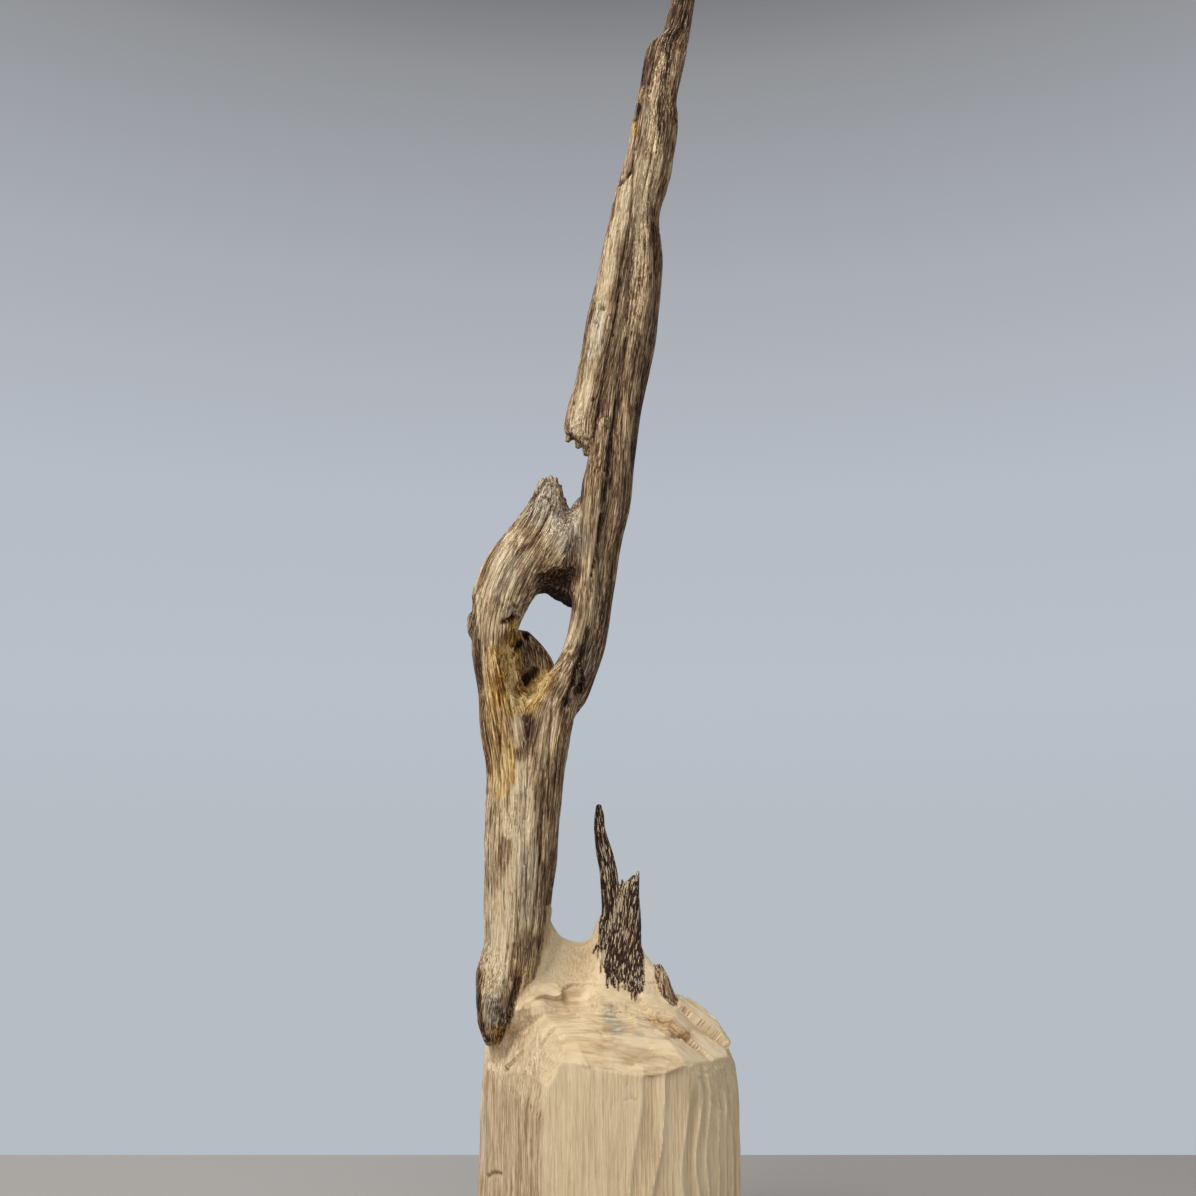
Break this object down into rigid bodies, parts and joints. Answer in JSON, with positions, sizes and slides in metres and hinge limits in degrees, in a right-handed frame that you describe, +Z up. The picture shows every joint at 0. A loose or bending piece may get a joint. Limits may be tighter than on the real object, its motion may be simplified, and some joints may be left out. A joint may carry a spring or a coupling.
{
  "type": "agarwood piece",
  "caption": "Standing display piece of natural agarwood: a carved pale block with a saddle-shaped web, and weathered limbs rising from it to a leaning spire.",
  "frame": {"origin": "middle of the carved block's flat underside", "axes": "+Z up along the piece's height, +X towards the side the spire leans to, +Y away from the viewer, towards the back"},
  "size_m": [0.1068, 0.089, 0.553],
  "materials": {
    "pale_carved_wood": "bare knife-carved wood, dry and matt",
    "weathered_wood": "bare weathered wood, streaky and rough",
    "dark_resin_wood": "bare resinous wood, dark with pale flecks"
  },
  "bodies": {
    "root": {"carved_block": "pale_carved_wood", "trunk": "weathered_wood", "hook_branch": "weathered_wood", "spire": "weathered_wood", "curved_spike": "dark_resin_wood", "dark_spike": "dark_resin_wood"}
  },
  "joints": []
}
